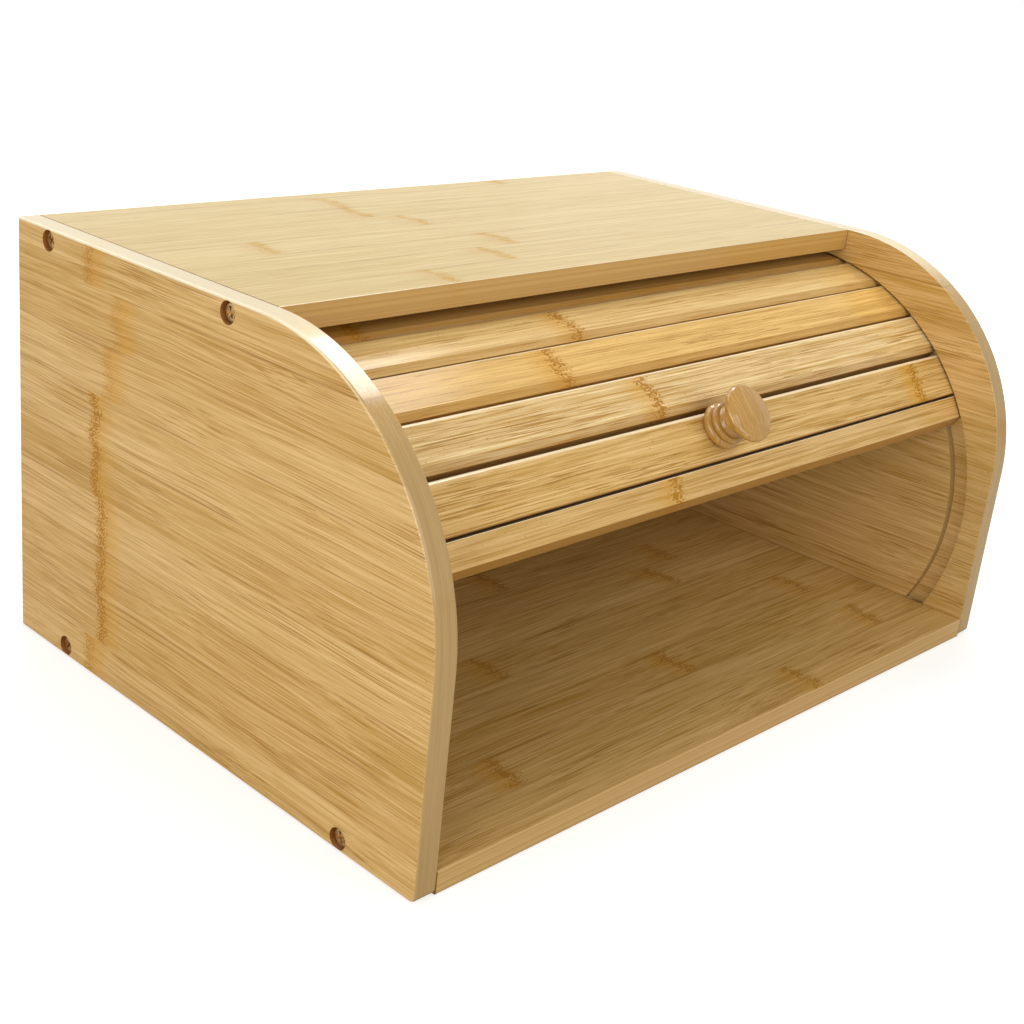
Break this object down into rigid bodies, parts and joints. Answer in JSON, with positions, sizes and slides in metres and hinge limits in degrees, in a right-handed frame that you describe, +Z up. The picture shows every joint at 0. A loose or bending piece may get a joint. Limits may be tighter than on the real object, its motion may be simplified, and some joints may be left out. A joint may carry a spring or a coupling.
{
  "type": "roll-top bread box",
  "caption": "Bamboo bread box with curved sides and a slatted tambour door that rolls up in side grooves by a turned knob.",
  "frame": {"origin": "on the surface the box stands on, in the middle of its footprint", "axes": "+X across the width to the right as seen from the front, -Y to the front where the door is, +Z up"},
  "size_m": [0.4, 0.277, 0.195],
  "materials": {
    "bamboo_side": "satin lacquered bamboo, grain along the depth",
    "bamboo_board": "satin lacquered pale bamboo, grain along the width",
    "bamboo_back": "matt bamboo, grain along the width",
    "bamboo_slat": "satin lacquered bamboo, grain along the slat",
    "bamboo_knob": "glossy lacquered turned bamboo",
    "canvas": "off-white woven cotton",
    "brass": "antique brass plating"
  },
  "bodies": {
    "case": {"left_side_panel": "bamboo_side", "right_side_panel": "bamboo_side", "top_board": "bamboo_board", "bottom_board": "bamboo_board", "back_panel": "bamboo_back", "left_top_screws": "brass", "left_bottom_screws": "brass", "right_top_screws": "brass", "right_bottom_screws": "brass"},
    "tambour": {"slat_01": "bamboo_slat", "slat_02": "bamboo_slat", "slat_03": "bamboo_slat", "slat_04": "bamboo_slat", "slat_05": "bamboo_slat", "slat_06": "bamboo_slat", "slat_07": "bamboo_slat", "slat_08": "bamboo_slat", "slat_09": "bamboo_slat", "slat_10": "bamboo_slat", "bottom_rail": "bamboo_slat", "canvas_backing": "canvas", "knob": "bamboo_knob", "knob_screw": "brass"}
  },
  "joints": [
    {"name": "door_roll", "type": "hinge", "parent": "case", "child": "tambour", "pos_m": [0, -0.0085, 0.062], "axis": [-1, 0, 0], "range_deg": [-52.7, 35.5]}
  ]
}
